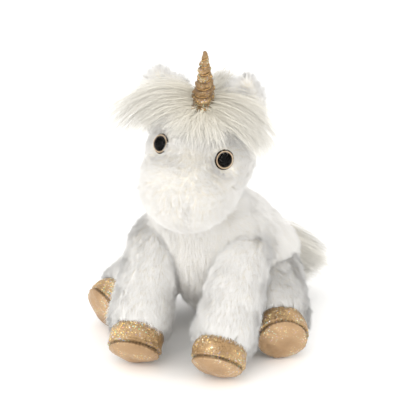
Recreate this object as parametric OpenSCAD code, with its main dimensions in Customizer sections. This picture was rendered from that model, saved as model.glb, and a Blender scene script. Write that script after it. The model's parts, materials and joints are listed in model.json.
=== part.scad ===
// Plush unicorn, sitting on its rump with the front legs planted.
// The origin is the centre of the seat panel on the floor. The toy looks along -Y, its left side is +X, +Z is up.

/* [Torso] */
// Radius of the rump, to the tips of the pile
rump_r = 50; // [49:1:52]
// Height of the rump's centre over the floor
rump_z = 44; // [43:1:45]
// Radius of the back above the rump
back_r = 46; // [43:1:47]
// Radius of the chest
chest_r = 36; // [34:1:38]
// Radius of the rounded neck that the head moves on
neck_r = 31.5; // [30:0.5:32]
// Height of the neck's centre over the floor
neck_z = 119; // [117:1:122]

/* [Head] */
// Radius of the skull, to the tips of the pile
skull_r = 45; // [43:1:46]
// Radius of the muzzle
muzzle_r = 39; // [38:1:41]
// How far the head is turned to its left as it sits
head_turned = 8; // [2:1:12]
// How far the head is tilted to its left as it sits
head_tilted = 10; // [6:1:13]
// Radius of a safety eye
eye_r = 8; // [7:0.5:9]
// Height of the horn above the forehead
horn_h = 51; // [48:1:56]
// Radius of the horn at its base
horn_r = 8.6; // [8:0.1:9.5]

/* [Legs] */
// Radius of a front leg at the shoulder
shoulder_r = 21; // [20:0.5:21.5]
// Radius of a hind leg at the hip
hip_r = 26.5; // [25:0.5:28]
// Length of a front leg from the shoulder to the hoof's sole
front_l = 101; // [97:1:105]
// Length of a hind leg from the hip to the hoof's sole
hind_l = 83; // [79:1:86]
// Radius of a hoof
hoof_r = 22.5; // [21.5:0.5:23.5]
// Length of a hoof along the leg
hoof_l = 27; // [25:1:29]
// Slope of the front legs below level
front_slope = 45; // [42:1:48]
// Slope of the hind legs below level
hind_slope = 21; // [18:1:24]

/* [Tail] */
// Length of the tail's plume
tail_l = 72; // [60:1:80]
// Radius of the tail where it is fullest
tail_r = 16; // [14:0.5:17]

/* [Fabric] */
// Thickness of the plush with its pile
plush_t = 7; // [6:0.5:8]
// Thickness of the glitter fabric
foil_t = 1.2; // [1:0.1:1.5]

/* [Hidden] */

// Colours
pile_white = [0.95, 0.94, 0.92];
long_white = [0.93, 0.92, 0.88];
fill_white = [0.97, 0.97, 0.97];
gold = [0.80, 0.66, 0.50];
pouch_grey = [0.75, 0.75, 0.73];

// Clearance between layers, and between parts that move on each other
layer_gap = 0.3;
move_gap = 1.2;
soft_fn = 22;
cut_fn = 20;
hole_fn = 24;
round_fn = 64;
big = 400;

// Torso: the places of the round forms that it is blended from
back_rise = 28;
rump = [0, 0, rump_z];
back = [0, -8, rump_z + back_rise];
chest = [0, -53, 81];
neck = [0, -66, neck_z];
seat_r = 22;
seat_t = 2;
pouch_r = 21.4;
pouch_h = 28;
// The round forms of the torso's hollow, as [centre, radius]
hollow = [
    [[0, 5, rump_z - 2], 17],
    [[0, -6, rump_z + 42], 25],
    [[0, -46, 73], 13]
];
neck_rim_drop = 5;
neck_rim_lean = 30;

// Head: measured from the skull's centre
skull_up = 51;
skull_forward = 14;
skull_right = 5;
muzzle = [0, -36, -17];
nod_range = [-12, 0, 12];
throat_gap = 3;

// Long pile: the round forms of each lock as [centre, radius], measured from the skull's centre
forelock_to_right = [[[0, -24, 40], 6], [[-28, -32, 34], 8], [[-60, -36, 28], 4]];
forelock_to_left = [[[0, -24, 40], 6], [[26, -32, 32], 8], [[50, -32, 14], 4]];
nape_lock = [[[0, 4, 46], 9], [[0, 36, 28], 12], [[0, 46, 0], 9], [[0, 45, -22], 6]];

// Eyes: measured from the skull's centre
eye_side = 33;
eye_lift = 14;
eye_dome_h = 4.5;
eye_plate_t = 1.5;
eye_sink = 3.5;
eye_out = 47.5;
shank_r = 2.2;
shank_l = 10;
shank_bite = 0.5;
washer_r = 7;
washer_t = 1.6;
washer_gap = 0.1;
dome_gap = 0.1;
dome_ball_r = (eye_r * eye_r + eye_dome_h * eye_dome_h) / (2 * eye_dome_h);

// Horn
horn_lean = 24;
horn_axis_lean = 18;
horn_side_lean = 2;
horn_right = 3;
horn_root = 6;
horn_tip_r = 2;
horn_flare = 2;
thread_r = 0.45;
thread_lift = 0.4;
thread_turns = 6;
thread_steps = 12;
thread_start = 9;
thread_end = 5;

// Ears
ear_h = 34;
ear_w = 24;
ear_t = 9;
ear_side = 31;
ear_back = 4;
ear_up = 33;
ear_splay = 10;
ear_turn = 12;
ear_fn = 16;

// Legs: pivots and the rest pose of each leg
shoulder_x = 39;
shoulder_y = -70;
hip_x = 45;
hip_y = -18;
front_left_splay = 1;
front_right_splay = 8;
hind_left_splay = 26;
hind_right_splay = 31;
front_swing = [-3, 25];
hind_swing = [-2, 20];
cuff_r = 25;
cuff_fall = 8;
cuff_turn = 1.5;
sole_bulge = 6;
sole_rim = 2;
sole_draw = 1;
fill_slack = 3;
arc_steps = 10;

// Tail
tail_root = [9, 37, 64];
tail_root_r = 12;
tail_slope = 17;
tail_yaw = 115;
tail_full = 0.4;
tail_tip_r = 5;
tail_backing_r = 4;
tail_backing_start = tail_root_r - 2;
tail_swing = [-12, 15];

// ---------- profiles of the legs, as [radius, distance along the leg] ----------

function arc(centre, r, from, to) = [
    for (i = [0 : arc_steps])
        let (a = from + (to - from) * i / arc_steps)
        [max(0, centre[0] + r * cos(a)), centre[1] + r * sin(a)]
];
function reversed(list) = [for (i = [len(list) - 1 : -1 : 0]) list[i]];
// Where the fur cuff ends and the hoof begins
function cuff_at(l) = l - hoof_l;
// Where the sole's seam lies
function seam_at(l) = l - sole_bulge - sole_rim;
// The leg's fur from the ball at its top to the cuff
function leg_line(l, top_r, inset) = concat(
    arc([0, 0], top_r - inset, -90, 0),
    [[cuff_r - inset, cuff_at(l) - cuff_fall], [cuff_r - cuff_turn - inset, cuff_at(l)]]
);
// The gold upper of a hoof, from under the cuff to the seam
function upper_line(l, inset) = [
    [hoof_r - 2.2 - inset, cuff_at(l) + layer_gap],
    [hoof_r - 0.6 - inset, cuff_at(l) + 6],
    [hoof_r - inset, cuff_at(l) + 13],
    [hoof_r - sole_draw - inset, seam_at(l)]
];
// The rounded sole, from the seam to its middle
function sole_line(l, inset) = [
    for (i = [0 : arc_steps])
        let (a = 90 * i / arc_steps)
        [
            (hoof_r - sole_draw - inset) * cos(a),
            seam_at(l) + layer_gap + (sole_bulge + sole_rim - layer_gap - inset) * sin(a)
        ]
];
// How far the lowest point of a hoof lies below the leg's pivot
function drop(l, slope) = max([
    for (p = concat(upper_line(l, 0), sole_line(l, 0)))
        p[1] * sin(slope) + p[0] * cos(slope)
]);

function shoulder(side) = [side * shoulder_x, shoulder_y, drop(front_l, front_slope)];
function hip(side) = [side * hip_x, hip_y, drop(hind_l, hind_slope)];

// Each leg as [pivot, splay, slope, length, top radius, swing axis, swing range]
front_left = [shoulder(1), front_left_splay, front_slope, front_l, shoulder_r, [-1, 0, 0], front_swing];
front_right = [shoulder(-1), front_right_splay, front_slope, front_l, shoulder_r, [-1, 0, 0], front_swing];
hind_left = [hip(1), hind_left_splay, hind_slope, hind_l, hip_r, [0, 0, 1], hind_swing];
hind_right = [hip(-1), -hind_right_splay, hind_slope, hind_l, hip_r, [0, 0, -1], hind_swing];
legs = [front_left, front_right, hind_left, hind_right];

// ---------- frames of the moving parts ----------

module leg_place(leg, swing = 0) {
    translate(leg[0])
        rotate(swing, leg[5])
            rotate([0, 0, leg[1]])
                rotate([90 + leg[2], 0, 0])
                    children();
}

// The head's own frame has the skull's centre as its origin
module head_place() {
    translate(neck)
        rotate([0, head_tilted, head_turned])
            translate([-skull_right, -skull_forward, skull_up])
                children();
}

// +Z leaves the head along the line of sight of an eye
module eye_place(side) {
    head_place()
        rotate([0, 0, side * eye_side])
            rotate([90 - eye_lift, 0, 0])
                children();
}

module horn_place() {
    head_place()
        rotate([horn_lean, 0, 0])
            translate([-horn_right, 0, skull_r - 1])
                rotate([horn_axis_lean - horn_lean, -horn_side_lean, 0])
                    children();
}

module ear_place(side) {
    head_place()
        translate([side * ear_side, ear_back, ear_up])
            rotate([0, side * ear_splay, 0])
                rotate([0, 0, -side * ear_turn])
                    children();
}

module tail_place(swing = 0) {
    translate(tail_root)
        rotate([swing, 0, 0])
            rotate([0, 0, tail_yaw])
                rotate([90 + tail_slope, 0, 0])
                    children();
}

// ---------- torso ----------

module ball(centre, r, fn = soft_fn) {
    translate(centre)
        sphere(r, $fn = fn);
}

// The space that a leg sweeps while it swings, grown by a margin
module leg_sweep(leg, margin) {
    hull()
        for (swing = concat(leg[6], [0]))
            leg_place(leg, swing) {
                sphere(leg[4] + margin, $fn = cut_fn);
                translate([0, 0, cuff_at(leg[3])])
                    sphere(cuff_r + margin, $fn = cut_fn);
            }
}

module tail_sweep(margin) {
    hull()
        for (swing = tail_swing)
            tail_place(swing) {
                sphere(tail_root_r + margin, $fn = cut_fn);
                translate([0, 0, tail_l * tail_full])
                    sphere(tail_r + margin, $fn = cut_fn);
            }
}

module torso_form(inset) {
    hull() {
        ball(rump, rump_r - inset);
        ball(back, back_r - inset);
        ball(chest, chest_r - inset);
        ball(neck, neck_r - inset);
    }
}

// The torso with room cut in it for the neck, the legs, the tail and the floor
module torso_body(inset) {
    difference() {
        torso_form(inset);
        ball(neck, neck_r + move_gap + inset, soft_fn);
        translate(neck)
            rotate([neck_rim_lean, 0, 0])
                translate([-big / 2, -big / 2, -neck_rim_drop - inset])
                    cube(big);
        translate([-big / 2, -big / 2, inset - big])
            cube(big);
        for (leg = legs)
            leg_sweep(leg, move_gap + inset);
        tail_sweep(move_gap + inset);
    }
}

// The hollow of the torso's skin. It stays clear of the room for the legs and the tail.
module torso_hollow(inset) {
    for (i = [1 : len(hollow) - 1])
        hull() {
            ball(hollow[i - 1][0], hollow[i - 1][1] - inset);
            ball(hollow[i][0], hollow[i][1] - inset);
        }
}

module torso_skin() {
    color(pile_white)
        difference() {
            torso_body(0);
            torso_hollow(0);
            translate([0, rump[1], -1])
                cylinder(h = pouch_h + layer_gap + 1, r = seat_r + layer_gap, $fn = hole_fn);
        }
}

module torso_stuffing() {
    color(fill_white)
        difference() {
            torso_hollow(layer_gap);
            translate([0, rump[1], 0])
                cylinder(h = pouch_h + layer_gap, r = pouch_r + 2 * layer_gap, $fn = hole_fn);
        }
}

module seat_panel() {
    color(pile_white)
        translate([0, rump[1], 0])
            cylinder(h = seat_t, r = seat_r, $fn = round_fn);
}

module seat_pellet_pouch() {
    color(pouch_grey)
        translate([0, rump[1], seat_t + layer_gap])
            cylinder(h = pouch_h - seat_t - layer_gap, r = pouch_r, $fn = round_fn);
}

// ---------- neck ----------

module neck_skin() {
    color(pile_white)
        difference() {
            ball(neck, neck_r, round_fn);
            ball(neck, neck_r - plush_t, round_fn);
            translate(neck - [0, 0, neck_r])
                cylinder(h = 2 * neck_r, r = neck_r / 3, $fn = round_fn);
        }
}

module neck_stuffing() {
    color(fill_white)
        ball(neck, neck_r - plush_t - layer_gap, round_fn);
}

// ---------- head ----------

module head_form(inset) {
    hull() {
        ball([0, 0, 0], skull_r - inset);
        ball(muzzle, muzzle_r - inset);
    }
}

// Room for the neck and for the chest while the head nods and turns
module throat_room(margin) {
    ball(neck, neck_r + move_gap + margin, soft_fn);
    for (nod = nod_range)
        translate(neck)
            rotate([nod, 0, 0])
                hull() {
                    sphere(neck_r + move_gap + margin, $fn = cut_fn);
                    translate(chest - neck)
                        sphere(chest_r + throat_gap + margin, $fn = cut_fn);
                    translate(back - neck)
                        sphere(back_r + throat_gap + margin, $fn = cut_fn);
                }
}

module head_body(inset) {
    difference() {
        head_place()
            head_form(inset);
        throat_room(inset);
    }
}

module head_skin() {
    color(pile_white)
        difference() {
            head_body(0);
            head_body(plush_t);
            for (side = [-1, 1])
                eye_place(side) {
                    cylinder(h = big, r = shank_r + layer_gap, $fn = hole_fn);
                    translate([0, 0, eye_out - eye_sink - eye_plate_t - layer_gap])
                        cylinder(h = big, r = eye_r + layer_gap, $fn = hole_fn);
                }
            horn_place()
                translate([0, 0, -horn_root - layer_gap])
                    cylinder(h = big, r = horn_r + layer_gap, $fn = hole_fn);
        }
}

module head_stuffing() {
    color(fill_white)
        difference() {
            head_body(plush_t + layer_gap);
            for (side = [-1, 1])
                eye_place(side)
                    translate([0, 0, eye_out - eye_sink - shank_l - eye_plate_t - layer_gap])
                        cylinder(h = big, r = eye_r + 2 * layer_gap, $fn = hole_fn);
        }
}

module lock(forms) {
    hull()
        for (form = forms)
            ball(form[0], form[1], cut_fn);
}

// Long pile over the forehead: a short side over the left eye and a long sweep to the right
module forelock() {
    color(long_white)
        difference() {
            head_place() {
                lock(forelock_to_right);
                lock(forelock_to_left);
            }
            head_place()
                head_form(-layer_gap);
            for (side = [-1, 1])
                ear_place(side)
                    ear_form(layer_gap);
            horn_place()
                translate([0, 0, -horn_root])
                    cylinder(h = big, r = horn_r + horn_flare + 2 * layer_gap, $fn = hole_fn);
        }
}

// Long pile from between the ears down the nape
module mane() {
    color(long_white)
        difference() {
            head_place()
                lock(nape_lock);
            head_place()
                head_form(-layer_gap);
            ball(neck, neck_r + move_gap, cut_fn);
            for (side = [-1, 1])
                ear_place(side)
                    ear_form(layer_gap);
        }
}

// ---------- horn ----------

function horn_line(inset) = [
    [horn_r - inset, -horn_root],
    [horn_r - inset, 1],
    [horn_r + horn_flare - inset, 2.5],
    [horn_r + horn_flare - 1 - inset, 5],
    [horn_r - 0.6 - inset, 8],
    [horn_tip_r + 0.6 - inset, horn_h - 2.5],
    [max(horn_tip_r - 0.4 - inset, 0.1), horn_h - 0.8 - inset],
    [0, horn_h - inset]
];

module horn_cover() {
    color(gold)
        horn_place()
            rotate_extrude($fn = round_fn)
                polygon(concat(horn_line(0), reversed(horn_line(foil_t))));
}

module horn_stuffing() {
    color(fill_white)
        horn_place()
            rotate_extrude($fn = round_fn)
                polygon(concat([[0, -horn_root]], horn_line(foil_t + layer_gap)));
}

// A thread wound round the horn that pinches it into a spiral
function thread_height(i) = thread_start + (horn_h - thread_start - thread_end) * i / (thread_turns * thread_steps);
function horn_radius(z) = horn_r - 0.6 + (horn_tip_r + 1.2 - horn_r) * (z - 8) / (horn_h - 10.5);
thread_rings = thread_turns * thread_steps;
thread_sides = 5;
thread_points = [
    for (i = [0 : thread_rings])
        let (turn = 360 * i / thread_steps, z = thread_height(i), r = horn_radius(z) + thread_r + thread_lift)
            for (k = [0 : thread_sides - 1])
                let (a = 360 * k / thread_sides, reach = r + thread_r * cos(a))
                [reach * cos(turn), reach * sin(turn), z + thread_r * sin(a)]
];
thread_faces = concat(
    [[for (k = [thread_sides - 1 : -1 : 0]) k]],
    [
        for (i = [0 : thread_rings - 1])
            for (k = [0 : thread_sides - 1])
                let (a = i * thread_sides + k, b = i * thread_sides + (k + 1) % thread_sides)
                    for (half = [0, 1])
                        half == 0 ? [a, b + thread_sides, a + thread_sides] : [a, b, b + thread_sides]
    ],
    [[for (k = [0 : thread_sides - 1]) thread_rings * thread_sides + k]]
);

module horn_thread() {
    color(gold)
        horn_place()
            polyhedron(thread_points, thread_faces);
}

// ---------- ears ----------

module ear_form(margin) {
    hull() {
        for (side = [-1, 1], up = [0, ear_h * 0.45])
            ball([side * (ear_w / 2 - ear_t / 2), 0, up], ear_t / 2 + margin, ear_fn);
        ball([0, 0, ear_h - ear_t / 3], ear_t / 3 + margin, ear_fn);
    }
}

// front = 1 keeps the lining's side of the ear, front = -1 the outer side
module ear_half(side, front) {
    difference() {
        ear_place(side)
            intersection() {
                ear_form(0);
                translate([-big / 2, front > 0 ? -big - layer_gap / 2 : layer_gap / 2, -big / 2])
                    cube(big);
            }
        head_place()
            head_form(-layer_gap);
    }
}

module ear_outer(side) {
    color(pile_white)
        ear_half(side, -1);
}

module ear_lining(side) {
    color(pile_white)
        ear_half(side, 1);
}

// ---------- eyes ----------

module eye_dome(side) {
    color([0.9, 0.9, 0.9, 0.4])
        eye_place(side)
            translate([0, 0, eye_out - eye_sink + dome_gap])
                intersection() {
                    translate([0, 0, eye_dome_h - dome_ball_r])
                        sphere(dome_ball_r, $fn = round_fn);
                    cylinder(h = eye_dome_h + 1, r = eye_r, $fn = round_fn);
                }
}

module eye_iris(side) {
    color([0.15, 0.12, 0.10])
        eye_place(side)
            translate([0, 0, eye_out - eye_sink - eye_plate_t]) {
                cylinder(h = eye_plate_t, r = eye_r, $fn = round_fn);
                translate([0, 0, -shank_l])
                    cylinder(h = shank_l + shank_bite, r = shank_r, $fn = round_fn);
            }
}

module eye_washer(side) {
    color(fill_white)
        eye_place(side)
            translate([0, 0, eye_out - eye_sink - eye_plate_t - shank_l + shank_bite])
                difference() {
                    cylinder(h = washer_t, r = washer_r, $fn = round_fn);
                    translate([0, 0, -1])
                        cylinder(h = washer_t + 2, r = shank_r + washer_gap, $fn = round_fn);
                }
}

// ---------- legs ----------

module leg_skin(leg) {
    color(pile_white)
        leg_place(leg)
            rotate_extrude($fn = round_fn)
                polygon(concat(leg_line(leg[3], leg[4], 0), reversed(leg_line(leg[3], leg[4], plush_t))));
}

module leg_stuffing(leg) {
    inset = plush_t + layer_gap;
    fill_r = hoof_r - foil_t - fill_slack;
    color(fill_white)
        leg_place(leg)
            rotate_extrude($fn = round_fn)
                polygon(concat(
                    leg_line(leg[3], leg[4], inset),
                    [[cuff_r - cuff_turn - inset, cuff_at(leg[3]) + 1]],
                    [[fill_r, cuff_at(leg[3]) + 6], [fill_r, seam_at(leg[3]) - 2], [0, seam_at(leg[3]) + 2]]
                ));
}

module hoof_upper(leg) {
    color(gold)
        leg_place(leg)
            rotate_extrude($fn = round_fn)
                polygon(concat(upper_line(leg[3], 0), reversed(upper_line(leg[3], foil_t))));
}

module hoof_sole(leg) {
    color(gold)
        leg_place(leg)
            rotate_extrude($fn = round_fn)
                polygon(concat(sole_line(leg[3], 0), reversed(sole_line(leg[3], foil_t))));
}

// ---------- tail ----------

module tail_plume() {
    color(long_white)
        tail_place()
            difference() {
                hull() {
                    sphere(tail_root_r, $fn = soft_fn);
                    translate([0, 0, tail_l * tail_full])
                        sphere(tail_r, $fn = soft_fn);
                    translate([0, 0, tail_l - tail_tip_r])
                        sphere(tail_tip_r, $fn = soft_fn);
                }
                translate([0, 0, -big + tail_l * tail_full])
                    cylinder(h = big, r = tail_backing_r + layer_gap, $fn = round_fn);
            }
}

module tail_backing() {
    color(pile_white)
        tail_place()
            translate([0, 0, -tail_backing_start])
                cylinder(h = tail_l * tail_full + tail_backing_start - layer_gap, r = tail_backing_r, $fn = round_fn);
}

torso_skin();
torso_stuffing();
seat_panel();
seat_pellet_pouch();
neck_skin();
neck_stuffing();
head_skin();
head_stuffing();
forelock();
mane();
horn_cover();
horn_stuffing();
horn_thread();
ear_outer(1);  // ear_left_outer
ear_lining(1);  // ear_left_lining
ear_outer(-1);  // ear_right_outer
ear_lining(-1);  // ear_right_lining
eye_dome(1);  // eye_left_dome
eye_iris(1);  // eye_left_iris
eye_washer(1);  // eye_left_washer
eye_dome(-1);  // eye_right_dome
eye_iris(-1);  // eye_right_iris
eye_washer(-1);  // eye_right_washer
leg_skin(front_left);  // front_left_leg_skin
leg_stuffing(front_left);  // front_left_leg_stuffing
hoof_upper(front_left);  // front_left_hoof_upper
hoof_sole(front_left);  // front_left_hoof_sole
leg_skin(front_right);  // front_right_leg_skin
leg_stuffing(front_right);  // front_right_leg_stuffing
hoof_upper(front_right);  // front_right_hoof_upper
hoof_sole(front_right);  // front_right_hoof_sole
leg_skin(hind_left);  // hind_left_leg_skin
leg_stuffing(hind_left);  // hind_left_leg_stuffing
hoof_upper(hind_left);  // hind_left_hoof_upper
hoof_sole(hind_left);  // hind_left_hoof_sole
leg_skin(hind_right);  // hind_right_leg_skin
leg_stuffing(hind_right);  // hind_right_leg_stuffing
hoof_upper(hind_right);  // hind_right_hoof_upper
hoof_sole(hind_right);  // hind_right_hoof_sole
tail_backing();
tail_plume();
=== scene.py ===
"""The looks of the plush unicorn: padded cloth, pile, long hair, gold hooves and horn, eyes.

Lengths are in millimetres unless a name says otherwise. Each mesh is turned into metres
when it is made.
"""

import json
import math

import bmesh
import bpy
import numpy as np
from mathutils import Matrix, Vector


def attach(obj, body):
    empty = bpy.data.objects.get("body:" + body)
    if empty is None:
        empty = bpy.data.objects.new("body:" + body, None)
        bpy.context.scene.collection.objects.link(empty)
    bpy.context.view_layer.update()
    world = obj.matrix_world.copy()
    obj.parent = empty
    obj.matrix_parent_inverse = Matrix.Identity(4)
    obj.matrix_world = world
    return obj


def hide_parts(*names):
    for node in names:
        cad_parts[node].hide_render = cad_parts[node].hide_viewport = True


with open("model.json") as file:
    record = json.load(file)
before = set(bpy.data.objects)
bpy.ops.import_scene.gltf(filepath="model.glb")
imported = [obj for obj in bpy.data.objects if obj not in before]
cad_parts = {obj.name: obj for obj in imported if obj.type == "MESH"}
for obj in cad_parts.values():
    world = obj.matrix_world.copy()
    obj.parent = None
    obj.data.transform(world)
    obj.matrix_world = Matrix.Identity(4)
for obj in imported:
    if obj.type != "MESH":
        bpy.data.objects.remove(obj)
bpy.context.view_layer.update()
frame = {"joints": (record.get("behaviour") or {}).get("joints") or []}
MM = 0.001
PIVOT = {j["name"]: np.array(j["pos_m"]) / MM for j in frame["joints"]}

# ---------- sizes ----------

PILE = 8.5  # length of the body's pile
PILE_RISE = 5.5  # how far the combed pile stands above the cloth
FLAT_RISE = 3.3  # the same on the torso and the legs, where it is combed flatter
TORSO_LEAN, LEG_LEAN = 67, 68  # how far that pile leans from upright, in degrees
BURIED = -9  # pile this far inside a neighbour is left out
FLOOR_CLEAR = 0.3  # nothing comes closer to the floor than this

RUMP, RUMP_R = np.array([0, 0, 44.0]), 50
BACK, BACK_R = np.array([0, -8, 72.0]), 46
CHEST, CHEST_R = np.array([0, -53, 81.0]), 36
NECK, NECK_R = PIVOT["neck_nod"], 31.5
BIB, BIB_R = np.array([0, -62, 70.0]), 31
SHOULDER, SHOULDER_R = np.array([34, -61, 91.0]), 23
HAUNCH, HAUNCH_R = np.array([37, -6, 62.0]), 30
BLEND = 7.0  # how widely the light runs on over the joins of torso and legs
SEAT_R = 22

SKULL_R = 45
MUZZLE, MUZZLE_R = np.array([0, -36, -17.0]), 39
EYE_R = 7.5  # as far as the pile leaves it bare
EYE_BASE = 44.1  # distance of the eye's flat back from the skull's centre
EYE_RISE = 4.5  # how far the clear dome stands above its base
HORN_H = 51
HORN_R = 8.6
EAR_H, EAR_W, EAR_T = 34, 26, 9

FRONT_L, HIND_L = 101, 83
HOOF_R = 22.5
HOOF_L = 27
SOLE_BULGE = 6
TAIL_L = 72


# ---------- frames ----------


def shift(x, y, z):
    return np.array(Matrix.Translation((x, y, z)))


def turn(axis, degrees):
    return np.array(Matrix.Rotation(math.radians(degrees), 4, axis))


def moved(matrix, points):
    """Points, given in a frame, as places in the row frame."""
    points = np.asarray(points, float)
    return points @ matrix[:3, :3].T + matrix[:3, 3]


def turned(matrix, vectors):
    return np.asarray(vectors, float) @ matrix[:3, :3].T


def local(matrix, points):
    """Places in the row frame as points in a frame."""
    return moved(np.linalg.inv(matrix), points)


HEAD = shift(*NECK) @ turn("Z", 8) @ turn("Y", 10) @ shift(-5, -14, 51)
HORN = HEAD @ turn("X", 24) @ shift(-3, 0, SKULL_R - 1) @ turn("Y", -2) @ turn("X", -6)
TAIL = shift(*PIVOT["tail_root"]) @ shift(3, 0, -7) @ turn("Z", 111) @ turn("X", 105)


def eye_frame(side):
    return HEAD @ turn("Z", 35 if side > 0 else -38) @ turn("X", 90 - 13)


def ear_frame(side):
    across, up, out = (23, 31, 5) if side > 0 else (-33, 23, -22)
    return HEAD @ shift(across, 4, up) @ turn("Y", out) @ turn("Z", -side * 12)


def leg_frame(pivot, splay, slope):
    return shift(*pivot) @ turn("Z", splay) @ turn("X", 90 + slope)


# name: (frame with z down the leg, length, radius at the top)
LEGS = {
    "front_left": (leg_frame(PIVOT["front_left_shoulder"], 1, 45), FRONT_L, 23),
    "front_right": (leg_frame(PIVOT["front_right_shoulder"], 8, 45), FRONT_L, 23),
    "hind_left": (leg_frame(PIVOT["hind_left_hip"], 26, 21), HIND_L, 28),
    "hind_right": (leg_frame(PIVOT["hind_right_hip"], -31, 21), HIND_L, 28),
}


# ---------- small helpers on arrays of points ----------


def unit(v):
    return v / np.maximum(np.linalg.norm(v, axis=-1, keepdims=True), 1e-9)


def dot(a, b):
    return (a * b).sum(-1, keepdims=True)


def on_surface(v, normal):
    """The part of v that lies along the surface, as a unit vector."""
    v = np.broadcast_to(np.asarray(v, float), normal.shape)
    return unit(v - normal * dot(v, normal) + 1e-6)


def fade(x, low, high):
    """0 below low, 1 above high, smooth between."""
    t = np.clip((x - low) / (high - low), 0, 1)
    return t * t * (3 - 2 * t)


def ripple(points, size, seed):
    """Smooth noise from -1 to 1 with waves about as long as size."""
    rng = np.random.default_rng(seed)
    total = 0
    for _ in range(6):
        way = unit(rng.normal(size=3)) * 2 * math.pi / size * rng.uniform(0.6, 1.5)
        total = total + np.sin(points @ way + rng.uniform(0, 2 * math.pi))
    return total / 3.2


def tuft_centres(points, size, seed):
    """For each point the nearest of a set of scattered centres about one size apart."""
    cell = np.floor(points / size).astype(np.int64)
    best = np.full(len(points), 1e18)
    centre = points.copy()
    steps = (-1, 0, 1)
    for way in ((x, y, z) for x in steps for y in steps for z in steps):
        c = cell + np.array(way)
        h = (c[:, 0] * 73856093) ^ (c[:, 1] * 19349663) ^ (c[:, 2] * 83492791) ^ (seed * 2654435761)
        jitter = np.stack([(h // k) % 1009 / 1009 for k in (1, 1013, 1026169)], 1)
        q = (c + jitter) * size
        d = ((q - points) ** 2).sum(1)
        nearer = d < best
        best[nearer] = d[nearer]
        centre[nearer] = q[nearer]
    return centre


def cone_depth(points, a, ra, b, rb):
    """Signed distance of points from the round-ended cone between two balls. Inside is negative."""
    way = np.asarray(b, float) - a
    t = np.clip(((points - a) @ way) / max(way @ way, 1e-9), 0, 1)[:, None]
    return np.linalg.norm(points - a - t * way, axis=1) - (ra + (rb - ra) * t[:, 0])


def torso_cones():
    """The torso as round-ended cones: [centre, radius, centre, radius]."""
    return (
        (RUMP, RUMP_R, BACK, BACK_R),
        (BACK, BACK_R, NECK, NECK_R),
        (CHEST, CHEST_R, NECK, NECK_R),
        (RUMP, RUMP_R, CHEST, CHEST_R),
        (BACK, BACK_R, CHEST, CHEST_R),
        (BIB, BIB_R, NECK, NECK_R),
        *((SHOULDER * [side, 1, 1], SHOULDER_R, BACK, BACK_R) for side in (-1, 1)),
        *((HAUNCH * [side, 1, 1], HAUNCH_R, BACK, BACK_R) for side in (-1, 1)),
    )


def torso_depth(points):
    return np.min([cone_depth(points, *c) for c in torso_cones()], axis=0)


def head_depth(points):
    return cone_depth(local(HEAD, points), np.zeros(3), SKULL_R, MUZZLE, MUZZLE_R)


def leg_depth(points, name):
    place, length, top = LEGS[name]
    return cone_depth(local(place, points), np.zeros(3), top, np.array([0, 0, length - HOOF_R]), HOOF_R)


def body_facing(points, normals):
    """Normals of the torso and the legs as one round form, so that the light runs on over their joins."""

    def depth(p):
        all_depths = [cone_depth(p, *c) for c in torso_cones()] + [leg_depth(p, name) for name in LEGS]
        return -BLEND * np.log(np.exp(-np.array(all_depths) / BLEND).sum(0))

    slope = np.stack([depth(points + step) - depth(points - step) for step in np.eye(3) * 0.5], 1)
    return unit(0.3 * normals + 0.7 * unit(slope))


# ---------- meshes ----------


def new_object(name, mesh):
    obj = bpy.data.objects.new(name, mesh)
    bpy.context.scene.collection.objects.link(obj)
    return obj


def mesh_from(name, points, faces, smooth=True):
    mesh = bpy.data.meshes.new(name)
    mesh.from_pydata((np.asarray(points) * MM).tolist(), [], faces)
    mesh.polygons.foreach_set("use_smooth", [smooth] * len(mesh.polygons))
    mesh.update()
    return mesh


def ring_faces(rings, around):
    """Faces of a skin over rings of points, seen from outside when the rings go up."""
    faces = []
    for k in range(rings - 1):
        for i in range(around):
            j = (i + 1) % around
            faces.append((k * around + i, k * around + j, (k + 1) * around + j, (k + 1) * around + i))
    return faces


def get_points(mesh):
    co = np.zeros(len(mesh.vertices) * 3)
    mesh.vertices.foreach_get("co", co)
    return co.reshape(-1, 3) / MM


def set_points(mesh, points):
    mesh.vertices.foreach_set("co", (points * MM).ravel())
    mesh.update()


def get_normals(mesh):
    normals = np.zeros(len(mesh.vertices) * 3)
    mesh.vertices.foreach_get("normal", normals)
    return normals.reshape(-1, 3)


def with_modifiers(obj):
    """Makes the object's mesh what its modifiers give, and drops them."""
    graph = bpy.context.evaluated_depsgraph_get()
    mesh = bpy.data.meshes.new_from_object(obj.evaluated_get(graph))
    obj.modifiers.clear()
    obj.data = mesh
    mesh.polygons.foreach_set("use_smooth", [True] * len(mesh.polygons))
    return obj


def hull(points):
    """Corners and faces of the convex hull of points."""
    bm = bmesh.new()
    for p in points:
        bm.verts.new(p)
    bmesh.ops.convex_hull(bm, input=bm.verts, use_existing_faces=False)
    bmesh.ops.delete(bm, geom=[v for v in bm.verts if not v.link_faces], context="VERTS")
    bm.verts.index_update()
    corners = [tuple(v.co) for v in bm.verts]
    faces = [[v.index for v in f.verts] for f in bm.faces]
    bm.free()
    return corners, faces


def ball_points(centre, r, count=160):
    i = np.arange(count) + 0.5
    up = 1 - 2 * i / count
    around = math.pi * (1 + 5**0.5) * i
    flat = np.sqrt(1 - up * up)
    return np.stack([flat * np.cos(around), flat * np.sin(around), up], 1) * r + centre


def ring_points(z, r, count=32):
    a = np.arange(count) * 2 * math.pi / count
    return np.stack([np.cos(a) * r, np.sin(a) * r, np.full(count, float(z))], 1)


def form(name, points, cell):
    """A closed, even mesh over the convex hull of points."""
    corners, faces = hull(points)
    obj = new_object(name, mesh_from(name, corners, faces))
    remesh = obj.modifiers.new("Even", "REMESH")
    remesh.mode = "VOXEL"
    remesh.voxel_size = cell * MM
    return with_modifiers(obj)


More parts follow.
